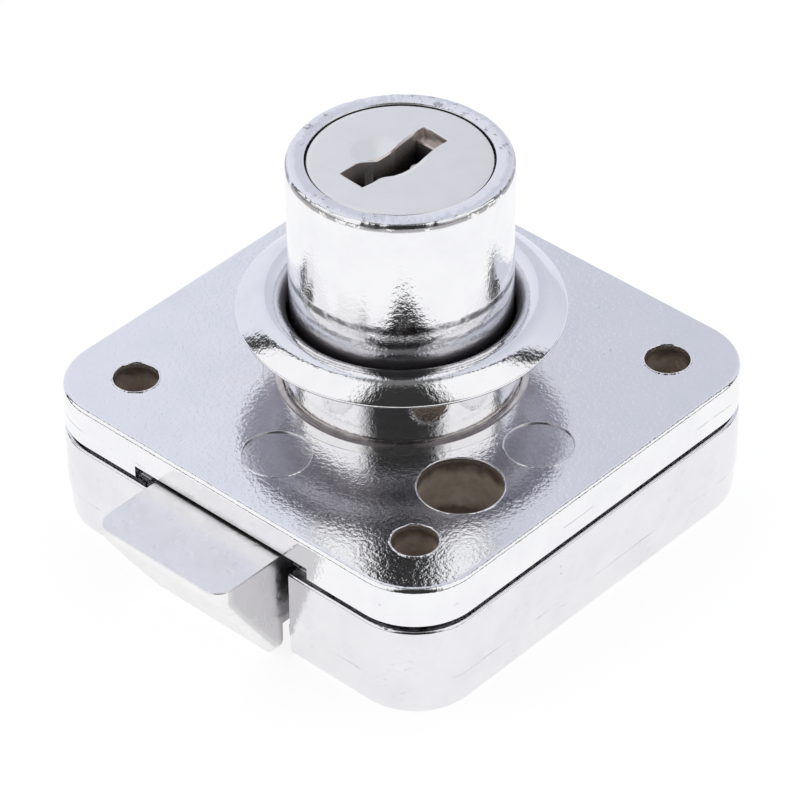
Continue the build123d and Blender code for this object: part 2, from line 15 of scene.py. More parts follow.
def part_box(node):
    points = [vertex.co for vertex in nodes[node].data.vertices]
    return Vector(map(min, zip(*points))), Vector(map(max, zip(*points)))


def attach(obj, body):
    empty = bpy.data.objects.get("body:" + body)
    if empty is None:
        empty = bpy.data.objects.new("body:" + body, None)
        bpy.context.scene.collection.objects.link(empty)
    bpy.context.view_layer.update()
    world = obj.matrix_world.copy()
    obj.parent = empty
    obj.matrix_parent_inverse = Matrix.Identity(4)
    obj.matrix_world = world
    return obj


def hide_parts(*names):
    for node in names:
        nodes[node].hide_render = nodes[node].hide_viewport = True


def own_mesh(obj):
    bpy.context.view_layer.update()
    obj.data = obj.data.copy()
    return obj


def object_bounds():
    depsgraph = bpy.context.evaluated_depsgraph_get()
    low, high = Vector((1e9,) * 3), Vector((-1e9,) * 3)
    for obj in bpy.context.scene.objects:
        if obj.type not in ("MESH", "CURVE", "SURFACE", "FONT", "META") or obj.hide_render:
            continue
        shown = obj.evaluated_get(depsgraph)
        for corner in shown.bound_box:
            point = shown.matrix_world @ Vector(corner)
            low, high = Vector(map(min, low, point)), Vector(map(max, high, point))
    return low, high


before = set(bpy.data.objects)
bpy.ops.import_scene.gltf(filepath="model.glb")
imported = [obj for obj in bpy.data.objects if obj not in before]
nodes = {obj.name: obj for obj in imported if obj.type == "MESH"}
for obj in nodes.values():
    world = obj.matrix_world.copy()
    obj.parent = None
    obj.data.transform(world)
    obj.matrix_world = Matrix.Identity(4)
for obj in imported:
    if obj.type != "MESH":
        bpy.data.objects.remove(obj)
cad_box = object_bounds()
MM = 0.001

# Camera, as fitted to the edges of the square plate in the photograph
AZIMUTH = radians(42.79)
ELEVATION = radians(38.62)
ROLL = radians(-0.60)
DISTANCE = 347.42 * MM
TARGET = Vector((2.48, -2.97, 0)) * MM
FOCAL_PIXELS = 4577.85
PICTURE_PIXELS = 800
SENSOR = 36.0

# Surroundings: the dark gap round the camera, by angle to each side and above the level
GAP_SIDE = (radians(46), radians(27))
GAP_FOOT = (radians(-8), radians(-4))
GAP_TONE = 0.035
# Surroundings: the dark seam where the white walls end, which stands further back on the left
SEAM_START = (radians(98), radians(101))
SEAM_STOP = (radians(110), radians(107))
SEAM_LEFT = radians(13)
SEAM_LEFT_SIDE = (radians(-80), radians(-100))
SEAM_TONE = 0.05
# Surroundings: the cooler far side
FAR_START = (radians(104), radians(107))
FAR_RIGHT_SIDE = (radians(90), radians(170))
FAR_MIDDLE_HALF = 0.5
FAR_LEFT = (0.80, 0.82, 0.90, 1)
FAR_MIDDLE = (0.76, 0.78, 0.87, 1)
FAR_RIGHT = (0.64, 0.66, 0.74, 1)
# Surroundings: the duller top, and the dark band where walls and floor meet
TOP_START = (radians(70), radians(82))
TOP_TONE = 0.17
EDGE_FOOT = (radians(-6), radians(-1))
EDGE_HEAD = (radians(11), radians(6))
EDGE_SIDE = (radians(125), radians(110))
EDGE_TONE = 0.05

# Floor: it glows a little where it is seen, and lies just under the case
FLOOR_HALF = 2.0
FLOOR_DROP = 0.01 * MM
FLOOR_PLAIN = 0.8
FLOOR_LIT = 0.22
FLOOR_OWN = 0.88
FLOOR_FAR = (28 * MM, 60 * MM)

# Plate and case
FRONT_FACE = -0.3
FIXING = 14.4
FIXING_RADIUS = 1.8
PEG = (12.7, -7.5)
PEG_RADIUS = 3.3
MARK_CIRCLE = 13.9
MARK_RADIUS = 2.7
SKIRT_LINE = -2.05
CASE_LINE = -9.1
CASE_LIP = (-4.06, -3.98)
CASE_SCREW = 14.0

# Where the plate's marks and neck haze lie, where painted light and shade fall down the holes, and where
# painted shadow and shade lie on the bolt
MARK_EDGE = (MARK_RADIUS + 0.02, MARK_RADIUS - 0.05)
NECK_ZONE = (18.5, 13.5)
NECK_RAGGED = 5.0
HOLE_SLACK = 0.06
HOLE_MOUTH = (-0.06, -0.5)
HOLE_TOP = (0.1, -1.1)
HOLE_FOOT = (-4.2, -3.2)
BOLT_INSIDE = (-20.6, -19.6)
BOLT_RIGHT = (6.0, 6.08)

# Barrel and the ridge round its foot
BARREL = 8.55
BARREL_TOP = 19.8
BARREL_FLANGE = 10.65
RIM_ROUND = 0.45
RIM_ROUGH = 0.05
RIM_START = 19.1
RIM_INSIDE = 8.0
JOINT_RADIUS = 7.2
JOINT_TOP = 19.64
RIDGE_FOOT = 9.3
RIDGE_WIDE = 0.45
RIDGE_HIGH = 0.16
RIDGE_BASE = -0.2

# Where painted shade darkens the barrel below the collar's mouth, and where the barrel is worn at its rim
TUBE_EDGE = (9.0, 8.7)
THIN_TOP = (11.2, 10.2)
THICK_TOP = (9.0, 7.4)
FIRST_BAND = ((11.0, 10.75), (10.1, 10.5))
SECOND_BAND = ((9.5, 9.3), (8.9, 9.15))
LOW_BAND = ((8.3, 7.5), (3.4, 5.6))
CHIPS_START = (19.1, 19.5)
RIM_BAND = ((19.12, 19.3), (19.72, 19.55))
RIM_SIDE = (7.6, 7.8)

# Trim ring, a rolled collar of sheet
RING_BORE = 8.7
SHEET = 0.5
CROWN = 10.4
CROWN_TOP = 7.6
RIM = 12.6
LIP = 0.22
LIP_END = 2.2
FLANGE_START = radians(34)
FLANGE_END = radians(42)
RING_FOOT = (0.02, 3.0)
THROAT_SIDE = (9.5, 8.8)
THROAT_FOOT = (5.0, 5.6)
UNDERSIDE = 5.3

# Plug face: the edge of the keyway, the plainer slot below it, and a shallow hollow
FACE = 19.66
CAP_RADIUS = 7.0
CAP_ROUND = 0.14
CAP_SKIRT = 0.3
KEYWAY_CENTRE = Vector((-0.3, 0.0))
KEYWAY_DEEP = 16.8
KEYWAY_EDGE = [
    (-2.13, -4.29), (-2.08, -2.63), (-1.75, -1.85), (-1.36, -1.06), (-1.26, -0.3), (-1.3, 0.6), (-1.48, 1.6),
    (-1.6, 2.7), (-1.5, 4.34), (1.08, 4.12), (1.0, 3.68), (0.97, 2.75), (1.12, 1.7), (1.3, 0.6), (1.38, -0.5),
    (1.28, -1.2), (1.05, -1.85), (0.66, -2.6), (0.5, -3.41), (0.32, -4.46), (-1.45, -4.36),
]
KEYWAY_BORE = [
    (-2.125, -4.4), (-2.125, -2.6), (-1.225, -1.3), (-1.225, 0), (-1.575, 4.3),
    (0.975, 4.3), (1.325, 0), (1.325, -1.3), (0.425, -2.6), (0.425, -4.4),
]
KEYWAY_DARK = 19.45
HOLLOW = Vector((-2.0, -0.4))
HOLLOW_RADIUS = 1.9
HOLLOW_DEEP = 0.26

# Springs: wire, turns, and how closely the end turns lie
BOLT_SPRING = (0.5, 9)
WAFER_SPRING = (0.25, 6)
CLOSED_TURNS = 1
CLOSED_PITCH = 1.04
TURN_STEPS = 32

# Screws in the back
HEAD = 2.4
RECESS = 1.1
SHANK = 1.25

# Unevenness of the plating: marks per millimetre, and the pits in it
BROAD_SCALE = 0.45
FINE_SCALE = 2.7
GRAIN_SCALE = 6.5
PIT_SCALE = 0.8
PIT_WIDE = 0.12
PIT_DEEP = 0.006

# Tints of worn, dirty and stained places, and of painted light and shade: down the holes, on the case's lip,
# the barrel, the collar's throat, the keyway and the bolt
PIT_TINT = (0.5, 0.49, 0.48, 1)
MOULD_TINT = (0.30, 0.30, 0.32, 1)
MARK_TINT = (0.62, 0.62, 0.67, 1)
RUBBED_TINT = (0.80, 0.74, 0.70, 1)
BORE_SHADED = (0.20, 0.155, 0.13, 1)
BORE_LIT = (0.95, 0.85, 0.74, 1)
BORE_STAIN = (0.40, 0.33, 0.28, 1)
SCUFF_TINT = (0.42, 0.42, 0.43, 1)
LIP_SHADE = (0.14, 0.135, 0.14, 1)
LIGHT_BARREL_SHADE = (0.50, 0.48, 0.50, 1)
HEAVY_BARREL_SHADE = (0.40, 0.37, 0.37, 1)
BAND_SHADE = (0.10, 0.10, 0.11, 1)
WORN_RIM = (0.24, 0.22, 0.23, 1)
FLANGE_TINT = (0.88, 0.87, 0.87, 1)
THROAT_SHADE = (0.36, 0.33, 0.35, 1)
KEYWAY_SHADE = (0.10, 0.085, 0.085, 1)
BOLT_SHADOW = (0.20, 0.19, 0.19, 1)
BOLT_SIDE_SHADE = (0.52, 0.51, 0.52, 1)


def make_camera():
    right = Vector((cos(AZIMUTH), sin(AZIMUTH), 0))
    back = Vector((sin(AZIMUTH) * cos(ELEVATION), -cos(AZIMUTH) * cos(ELEVATION), sin(ELEVATION)))
    up = back.cross(right)
    rolled_right = right * cos(ROLL) + up * sin(ROLL)
    rolled_up = up * cos(ROLL) - right * sin(ROLL)
    data = bpy.data.cameras.new("camera")
    data.sensor_width = SENSOR
    data.lens = FOCAL_PIXELS / PICTURE_PIXELS * SENSOR
    data.clip_start = 0.01
    data.clip_end = 10
    camera = bpy.data.objects.new("camera", data)
    bpy.context.scene.collection.objects.link(camera)
    axes = Matrix((rolled_right, rolled_up, back)).transposed().to_4x4()
    camera.matrix_world = Matrix.Translation(TARGET + back * DISTANCE) @ axes
    bpy.context.scene.camera = camera


class Tree:
    """Short calls for building a node tree: a value is a number, a tuple or another node's socket."""

    def __init__(self, tree):
        self.tree = tree

    def node(self, kind, inputs=None, **settings):
        made = self.tree.nodes.new(kind)
        for name, value in settings.items():
            setattr(made, name, value)
        for key, value in (inputs or {}).items():
            self.put(made.inputs[key], value)
        return made

    def put(self, socket, value):
        if isinstance(value, bpy.types.NodeSocket):
            self.tree.links.new(value, socket)
        else:
            socket.default_value = value

    def math(self, operation, a, b=0.0):
        return self.node("ShaderNodeMath", {0: a, 1: b}, operation=operation).outputs[0]

    def times(self, product, *factors):
        for factor in factors:
            product = self.math("MULTIPLY", product, factor)
        return product

    def plus(self, a, b):
        return self.math("ADD", a, b)

    def minus(self, a, b):
        return self.math("SUBTRACT", a, b)

    def most(self, a, b):
        return self.math("MAXIMUM", a, b)

    def size(self, a):
        return self.math("ABSOLUTE", a)

    def fade(self, value, start, end, low=0.0, high=1.0):
        """Eases from low at start to high at end."""
        made = self.node(
            "ShaderNodeMapRange",
            {"Value": value, "From Min": start, "From Max": end, "To Min": low, "To Max": high},
            interpolation_type="SMOOTHSTEP",
        )
        return made.outputs["Result"]

    def band(self, value, one_side, other_side):
        """One between the two sides, easing off at each."""
        return self.times(self.fade(value, *one_side), self.fade(value, *other_side))

    def mix(self, factor, a, b):
        made = self.node("ShaderNodeMix", data_type="RGBA")
        self.put(made.inputs["Factor"], factor)
        self.put(made.inputs["A"], a)
        self.put(made.inputs["B"], b)
        return made.outputs["Result"]

    def dot(self, a, b):
        return self.node("ShaderNodeVectorMath", {0: a, 1: b}, operation="DOT_PRODUCT").outputs["Value"]

    def split(self, place):
        return self.node("ShaderNodeSeparateXYZ", {0: place}).outputs

    def noise(self, place, scale, detail=2.0, roughness=0.5, stretch=None):
        if stretch:
            place = self.node("ShaderNodeVectorMath", {0: place, 1: stretch}, operation="MULTIPLY").outputs[0]
        made = self.node(
            "ShaderNodeTexNoise",
            {"Vector": place, "Scale": scale, "Detail": detail, "Roughness": roughness},
        )
        return made.outputs["Fac"]

    def bump(self, height, distance, before=None, strength=1.0):
        inputs = {"Height": height, "Distance": distance, "Strength": strength}
        if before:
            inputs["Normal"] = before
        return self.node("ShaderNodeBump", inputs).outputs["Normal"]


def grey(value):
    return (value, value, value, 1)


def make_world():
    """A bright tent with a dark gap where the picture is taken from, and a cooler grey far side."""
    world = bpy.data.worlds.new("studio")
    bpy.context.scene.world = world
    world.use_nodes = True
    t = Tree(world.node_tree)
    way = t.node("ShaderNodeTexCoord").outputs["Generated"]
    near = t.dot(way, (sin(AZIMUTH), -cos(AZIMUTH), 0))
    side = t.dot(way, (cos(AZIMUTH), sin(AZIMUTH), 0))
    height = t.math("ARCSINE", t.dot(way, (0, 0, 1)))
    turn = t.math("ARCTAN2", side, near)
    swing = t.size(turn)
    seam_swing = t.minus(swing, t.fade(turn, *SEAM_LEFT_SIDE, 0.0, SEAM_LEFT))
    white = grey(1.0)
    far_side = t.mix(t.fade(t.size(t.minus(swing, pi)), 0, FAR_MIDDLE_HALF), FAR_MIDDLE, FAR_LEFT)
    far_side = t.mix(t.fade(turn, *FAR_RIGHT_SIDE), far_side, FAR_RIGHT)
    sky = t.mix(t.fade(seam_swing, *FAR_START), white, far_side)
    seam = t.band(seam_swing, SEAM_START, SEAM_STOP)
    sky = t.mix(seam, sky, grey(SEAM_TONE))
    gap = t.times(t.fade(swing, *GAP_SIDE), t.fade(height, *GAP_FOOT))
    sky = t.mix(gap, sky, grey(GAP_TONE))
    sky = t.mix(t.fade(height, *TOP_START), sky, grey(TOP_TONE))
    edge = t.times(t.band(height, EDGE_FOOT, EDGE_HEAD), t.fade(swing, *EDGE_SIDE))
    sky = t.mix(edge, sky, grey(EDGE_TONE))
    sky = t.mix(t.node("ShaderNodeLightPath").outputs["Is Camera Ray"], sky, white)
    background = world.node_tree.nodes["Background"]
    t.put(background.inputs["Color"], sky)
    background.inputs["Strength"].default_value = 1.0


def make_floor():
    """A floor that the camera and the plating see as white, and that lights the lock as a pale one."""
    low = cad_box[0].z - FLOOR_DROP
    corners = ((-1, -1), (1, -1), (1, 1), (-1, 1))
    mesh = bpy.data.meshes.new("floor")
    mesh.from_pydata([(x * FLOOR_HALF, y * FLOOR_HALF, low) for x, y in corners], [], [(0, 1, 2, 3)])
    floor = bpy.data.objects.new("floor", mesh)
    bpy.context.scene.collection.objects.link(floor)
    material = bpy.data.materials.new("floor")
    material.use_nodes = True
    t = Tree(material.node_tree)
    material.node_tree.nodes.remove(material.node_tree.nodes["Principled BSDF"])
    plain = t.node("ShaderNodeBsdfDiffuse", {"Color": grey(FLOOR_PLAIN)}).outputs[0]
    lit = t.node("ShaderNodeBsdfDiffuse", {"Color": grey(FLOOR_LIT)}).outputs[0]
    light = t.node("ShaderNodeLightPath").outputs
    away = t.dot(t.node("ShaderNodeTexCoord").outputs["Object"], (-sin(AZIMUTH), cos(AZIMUTH), 0))
    far = t.times(t.fade(away, *FLOOR_FAR), light["Is Glossy Ray"])
    glow = t.mix(far, grey(1.0), FAR_MIDDLE)
    own = t.node("ShaderNodeEmission", {"Color": glow, "Strength": FLOOR_OWN}).outputs[0]
    seen = t.node("ShaderNodeAddShader", {0: lit, 1: own}).outputs[0]
    looked_at = t.most(light["Is Camera Ray"], light["Is Glossy Ray"])
    looked_at = t.most(looked_at, light["Is Transmission Ray"])
    both = t.node("ShaderNodeMixShader", {0: looked_at, 1: plain, 2: seen}).outputs[0]
    t.put(material.node_tree.nodes["Material Output"].inputs["Surface"], both)
    mesh.materials.append(material)


def new_metal(name, colour, roughness):
    """A metal, its tree and shader, and the place on the piece in millimetres for its textures."""
    material = bpy.data.materials.new(name)
    material.use_nodes = True
    t = Tree(material.node_tree)
    shader = material.node_tree.nodes["Principled BSDF"]
    shader.inputs["Metallic"].default_value = 1.0
    t.put(shader.inputs["Base Color"], colour)
    t.put(shader.inputs["Roughness"], roughness)
    place = t.node("ShaderNodeTexCoord").outputs["Object"]
    place = t.node("ShaderNodeVectorMath", {0: place, "Scale": 1 / MM}, operation="SCALE").outputs[0]
    return material, t, shader, place


def connect(t, shader, tint, rough, normal):
    t.put(shader.inputs["Base Color"], tint)
    t.put(shader.inputs["Roughness"], rough)
    t.put(shader.inputs["Normal"], normal)


def peel(t, place, fine, broad, grain):
    """The small unevenness of plating over a casting: broad waves, orange peel, grain and a few pits."""
    normal = t.bump(t.noise(place, BROAD_SCALE, 1.0), broad * MM)
    normal = t.bump(t.noise(place, FINE_SCALE, 2.0, 0.6), fine * MM, normal)
    normal = t.bump(t.noise(place, GRAIN_SCALE, 2.0, 0.6), grain * MM, normal)
    cells = t.node("ShaderNodeTexVoronoi", {"Vector": place, "Scale": PIT_SCALE, "Randomness": 1.0})
    wide = t.fade(t.noise(place, 0.35, 0.0), 0.55, 0.8, 0.0, PIT_WIDE)
    pit = t.math("LESS_THAN", cells.outputs["Distance"], wide)
    return t.bump(pit, -PIT_DEEP * MM, normal, 0.6), pit


def make_chrome(name, fine, broad, grain, extras, colour=(0.92, 0.92, 0.935, 1), roughness=0.07):
    """Bright plating; extras change its tint and roughness where one piece differs."""
    material, t, shader, place = new_metal(name, colour, roughness)
    normal, pit = peel(t, place, fine, broad, grain)
    hazy = (colour[0] * 0.95, colour[1] * 0.95, colour[2] * 0.965, 1)
    tint = t.mix(t.fade(t.noise(place, 0.25, 3.0, 0.6), 0.35, 0.75), colour, hazy)
    rough = t.fade(t.noise(place, 1.7, 3.0, 0.6), 0.3, 0.8, roughness * 0.8, roughness * 1.7)
    tint = t.mix(t.times(pit, 0.35), tint, PIT_TINT)
    tint, rough = extras(t, shader, place, tint, rough)
    connect(t, shader, tint, rough, normal)
    return material


def far_from(t, x, y, centre):
    across = t.minus(x, centre[0])
    along = t.minus(y, centre[1])
    return t.math("SQRT", t.plus(t.times(across, across), t.times(along, along)))


def from_axis(t, place):
    """The distance from the barrel's axis, and the height."""
    parts = t.split(place)
    return far_from(t, parts["X"], parts["Y"], (0, 0)), parts["Z"]


def mark_mask(t, place):
    """One on the four round marks in the front face."""
    parts = t.split(place)
    x, y = t.size(parts["X"]), t.size(parts["Y"])
    away = far_from(t, t.most(x, y), t.math("MINIMUM", x, y), (MARK_CIRCLE, 0))
    on_face = t.math("GREATER_THAN", parts["Z"], FRONT_FACE)
    return t.times(t.fade(away, *MARK_EDGE), on_face)


def hole_mask(t, place):
    """One inside the bores of the fixing holes and the peg hole, nought on the outer faces."""
    parts = t.split(place)
    fixing = far_from(t, t.size(parts["X"]), t.size(parts["Y"]), (FIXING, FIXING))
    peg = far_from(t, parts["X"], parts["Y"], PEG)
    near = t.most(
        t.math("LESS_THAN", fixing, FIXING_RADIUS + HOLE_SLACK),
        t.math("LESS_THAN", peg, PEG_RADIUS + HOLE_SLACK),
    )
    return t.times(near, t.fade(parts["Z"], *HOLE_MOUTH))


def mould_line(t, place, tint, level, rare):
    """A broken thin line on the sides where two halves of a mould met."""
    sway = t.fade(t.noise(place, 0.35, 3.0, 0.6), 0.0, 1.0, -0.12, 0.12)
    off = t.size(t.minus(t.plus(t.split(place)["Z"], sway), level))
    shown = t.fade(t.noise(place, 0.16, 3.0, 0.7), rare, rare + 0.07)
    line = t.times(t.fade(off, 0.06, 0.02), shown)
    return t.mix(t.times(line, 0.6), tint, MOULD_TINT)


def bore_stain_and_painted_light(t, shader, place, tint, rough):
    """Brown-grey stained metal down the holes, with a painted highlight midway and painted shade at the top
    and below the plate.
    """
    inside = hole_mask(t, place)
    wavy = t.plus(t.split(place)["Z"], t.times(t.noise(place, 0.7, 2.0), 1.4))
    # Painted highlight midway down each hole and painted shade at its top and foot; the brown and the stains
    # are the metal's own.
    lit = t.times(t.fade(wavy, *HOLE_TOP), t.fade(wavy, *HOLE_FOOT))
    brown = t.mix(lit, BORE_SHADED, BORE_LIT)
    brown = t.mix(t.fade(t.noise(place, 1.6, 3.0, 0.6), 0.35, 0.75, 0.0, 0.35), brown, BORE_STAIN)
    t.put(shader.inputs["Metallic"], t.fade(inside, 0.0, 1.0, 1.0, 0.5))
    return t.mix(inside, tint, brown), t.plus(rough, t.times(inside, 0.3))


def plate_extras(t, shader, place, tint, rough):
    """Duller round marks, a hazy brownish zone round the neck, and brown stained metal with painted light and
    shade inside the holes.
    """
    dull = mark_mask(t, place)
    speckle = t.fade(t.noise(place, 3.0, 3.0, 0.7), 0.35, 0.65)
    tint = t.mix(t.times(dull, t.fade(speckle, 0, 1, 0.1, 0.4)), tint, MARK_TINT)
    rough = t.plus(rough, t.times(dull, 0.16))
    away, height = from_axis(t, place)
    ragged = t.plus(away, t.times(t.noise(place, 0.5, 2.0), NECK_RAGGED))
    haze = t.times(t.fade(ragged, *NECK_ZONE), t.math("GREATER_THAN", height, FRONT_FACE))
    rough = t.plus(rough, t.times(haze, 0.02))
    rubbed = t.times(haze, t.fade(t.noise(place, 1.1, 4.0, 0.7), 0.4, 0.7, 0.0, 0.35))
    tint = t.mix(rubbed, tint, RUBBED_TINT)
    tint = mould_line(t, place, tint, SKIRT_LINE, rare=0.53)
    return bore_stain_and_painted_light(t, shader, place, tint, rough)


def tray_extras(t, shader, place, tint, rough):
    """Scuffed sides, painted shade on the lip inside the shadow gap, and brown stained holes with painted
    light and shade.
    """
    patch = t.fade(t.noise(place, 0.3, 2.0), 0.5, 0.62)
    mark = t.fade(t.noise(place, 2.0, 4.0, 0.7, (0.7, 0.7, 1.3)), 0.56, 0.68)
    scuff = t.times(patch, mark, 0.22)
    tint = t.mix(scuff, tint, SCUFF_TINT)
    rough = t.plus(rough, t.times(scuff, 0.25))
    # Painted shade: the case's lip inside the shadow gap is tinted nearly black.
    tint = t.mix(t.fade(t.split(place)["Z"], *CASE_LIP), tint, LIP_SHADE)
    tint = mould_line(t, place, tint, CASE_LINE, rare=0.49)
    return bore_stain_and_painted_light(t, shader, place, tint, rough)


def barrel_extras(t, shader, place, tint, rough):
    """Painted shade in streaky layers and bands on the barrel where the collar sits, and a rim with worn,
    pitted plating.
    """
    away, height = from_axis(t, place)
    tube = t.fade(away, *TUBE_EDGE)
    off_tube = t.minus(1.0, tube)

    # Painted shade, in streaky layers, on the barrel near the collar.
    streaks = t.noise(place, 1.0, 4.0, 0.7, (0.6, 0.6, 3.5))
    level = t.plus(height, t.times(streaks, 2.0))
    thin = t.times(t.fade(level, *THIN_TOP), tube)
    thick = t.times(t.fade(level, *THICK_TOP), tube)
    tint = t.mix(t.times(thin, 0.25), tint, LIGHT_BARREL_SHADE)
    tint = t.mix(t.times(thick, 0.75), tint, HEAVY_BARREL_SHADE)

    # Painted shade: dark broken bands on the barrel near the collar's mouth, and a darker band lower down.
    level = t.plus(height, t.times(streaks, 0.9))
    first = t.band(level, *FIRST_BAND)
    second = t.times(t.band(level, *SECOND_BAND), 0.6)
    broken = t.fade(t.noise(place, 0.7, 3.0, 0.6), 0.38, 0.5, 0.5, 1.0)
    below = t.times(t.band(level, *LOW_BAND), 0.75)
    bands = t.times(t.most(t.times(t.most(first, second), broken), below), tube)
    tint = t.mix(t.times(bands, 0.9), tint, BAND_SHADE)

    patch = t.fade(t.noise(place, 0.22, 1.0), 0.42, 0.6)
    chipped = t.fade(t.noise(place, 1.5, 4.0, 0.75), 0.57, 0.63)
    worn = t.times(t.fade(height, *CHIPS_START), chipped, patch)
    ragged = t.fade(t.noise(place, 0.6, 4.0, 0.7), 0.40, 0.46)
    edge = t.times(t.band(height, *RIM_BAND), ragged, t.fade(away, *RIM_SIDE))
    worn = t.most(worn, edge)
    tint = t.mix(t.times(worn, 0.7), tint, WORN_RIM)

    tint = t.mix(off_tube, tint, FLANGE_TINT)
    rough = t.plus(rough, t.times(off_tube, 0.07))
    return tint, t.plus(rough, t.times(worn, 0.2))


def ring_extras(t, shader, place, tint, rough):
    """Painted shade darkens the collar down its throat, which is also hazier."""
    away, height = from_axis(t, place)
    # Painted shade down the collar's throat, between it and the barrel.
    throat = t.times(t.fade(away, *THROAT_SIDE), t.fade(height, *THROAT_FOOT))
    tint = t.mix(t.times(throat, 0.8), tint, THROAT_SHADE)
    t.put(shader.inputs["Metallic"], t.fade(throat, 0.0, 1.0, 1.0, 0.45))
    return tint, t.plus(rough, t.times(throat, 0.15))


def make_satin(
    name, colour, roughness, grain, depth, mottle=0.06, wear=0.0, bolt_shade_and_dents=False, metallic=1.0, dark_below=None
):
    """Ground or tumbled metal: grain is how the scratches are stretched, in marks per millimetre.

    The bolt's flag paints shadow where the bolt stands in the case under the plate and shade on its right
    side, and adds a few dents. Dark_below is for the keyway: painted shade deepening below that height.
    """
    material, t, shader, place = new_metal(name, colour, roughness)
    shader.inputs["Metallic"].default_value = metallic
    scratches = t.noise(place, 1.0, 3.0, 0.6, grain)
    clouds = t.noise(place, 0.5, 3.0, 0.6)
    dark = tuple(c * (1 - 3 * mottle) for c in colour[:3]) + (1,)
    tint = t.mix(t.fade(clouds, 0.3, 0.8), colour, dark)
    if wear:
        rubbed = t.fade(t.noise(place, 1.4, 4.0, 0.7), 0.56, 0.68, 0.0, wear)
        tint = t.mix(rubbed, tint, tuple(min(1, c * 1.15) for c in colour[:3]) + (1,))
    # Painted shade, deepening down the keyway below dark_below.
    if dark_below:
        tint = t.mix(t.fade(t.split(place)["Z"], dark_below, dark_below - 2.0), tint, KEYWAY_SHADE)
    # Painted shadow on the bolt where it stands in the case under the plate, and painted shade on its right
    # side.
    if bolt_shade_and_dents:
        parts = t.split(place)
        inside = t.fade(t.plus(parts["Y"], t.times(clouds, 0.3)), *BOLT_INSIDE)
        tint = t.mix(t.times(inside, 0.9), tint, BOLT_SHADOW)
        tint = t.mix(t.fade(parts["X"], *BOLT_RIGHT, 0.0, 0.55), tint, BOLT_SIDE_SHADE)
    rough = t.fade(t.noise(place, 2.2, 3.0, 0.6), 0.25, 0.8, roughness * 0.85, roughness * 1.2)
    normal = t.bump(scratches, depth * MM)
    if bolt_shade_and_dents:
        normal = t.bump(t.fade(t.noise(place, 0.9, 2.0), 0.3, 0.45), 0.02 * MM, normal)
    normal = t.bump(t.noise(place, 6.0, 2.0), depth * 0.3 * MM, normal)
    connect(t, shader, tint, rough, normal)
    return material


def paint(material, *names):
    for name in names:
        mesh = nodes[name].data
        mesh.materials.clear()
        mesh.materials.append(material)


def finish_piece(name, bm, material, body, replaced=()):
    bmesh.ops.recalc_face_normals(bm, faces=bm.faces)
    mesh = bpy.data.meshes.new(name)
    bm.to_mesh(mesh)
    bm.free()
    for face in mesh.polygons:
        face.use_smooth = True
    mesh.materials.append(material)
    piece = bpy.data.objects.new(name, mesh)
    bpy.context.scene.collection.objects.link(piece)
    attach(piece, body)
    if replaced:
        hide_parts(*replaced)
    return piece


def sharpen(piece, angle=35):
    """Keeps edges sharper than the angle crisp under smooth shading."""
    mesh = piece.data
    bm = bmesh.new()
    bm.from_mesh(mesh)
    bmesh.ops.remove_doubles(bm, verts=bm.verts, dist=1e-7)
    for edge in bm.edges:
        if len(edge.link_faces) == 2 and edge.calc_face_angle(0) > radians(angle):
            edge.smooth = False
    bm.to_mesh(mesh)
    bm.free()


def repaint(piece, material, belongs):
    """Gives a second material to the faces whose middle, in millimetres, and normal belong."""
    piece.data.materials.append(material)
    for part in piece.data.polygons:
        if belongs(part.center / MM, part.normal):
            part.material_index = 1


def add_vert(bm, x, y, z):
    return bm.verts.new(Vector((x, y, z)) * MM)


def round_steps(count):
    return [2 * pi * k / count for k in range(count)]


def steps_of(full, count, start=0.0):
    return [start + full * k / count for k in range(count + 1)]


def join_rows(bm, rows, closed):
    """Faces between neighbouring rows all the way round; a closed row joins its last point to its first."""
    for a, b in zip(rows, rows[1:] + rows[:1]):
        for s in range(len(a) if closed else len(a) - 1):
            after = (s + 1) % len(a)
            bm.faces.new((a[s], a[after], b[after], b[s]))


def add_tube(bm, points, radii, sides, closed=False):
    """A tube through the points, with its own radius at each."""
    count = len(points)
    rings = []
    normal = Vector((0, 0, 1))
    for k, point in enumerate(points):
        before = points[k - 1] if closed or k else points[0]
        after = points[(k + 1) % count] if closed or k < count - 1 else points[-1]
        way = (after - before).normalized()
        if k == 0 and abs(way.dot(normal)) > 0.9:
            normal = Vector((1, 0, 0))
        normal = (normal - way * way.dot(normal)).normalized()
        other = way.cross(normal)
        spokes = [normal * cos(angle) + other * sin(angle) for angle in round_steps(sides)]
        rings.append([add_vert(bm, *(point + spoke * radii[k])) for spoke in spokes])
    for k in range(count if closed else count - 1):
        a, b = rings[k], rings[(k + 1) % count]
        for s in range(sides):
            bm.faces.new((a[s], a[(s + 1) % sides], b[(s + 1) % sides], b[s]))
    if not closed:
        bm.faces.new(list(reversed(rings[0])))
        bm.faces.new(rings[-1])


def add_lathe(bm, profile, centre, segments):
    """Turns the profile, points of (radius, height), round a line along Z."""
    rings = []
    for radius, height in profile:
        if radius < 1e-6:
            rings.append([add_vert(bm, *centre, height)])
            continue
        rings.append([
            add_vert(bm, centre[0] + radius * cos(angle), centre[1] + radius * sin(angle), height)
            for angle in round_steps(segments)
        ])
    for a, b in zip(rings, rings[1:]):
        for s in range(segments):
            corners = [a[s % len(a)], a[(s + 1) % len(a)], b[(s + 1) % len(b)], b[s % len(b)]]
            unique = list(dict.fromkeys(corners))
            if len(unique) > 2:
                bm.faces.new(unique)


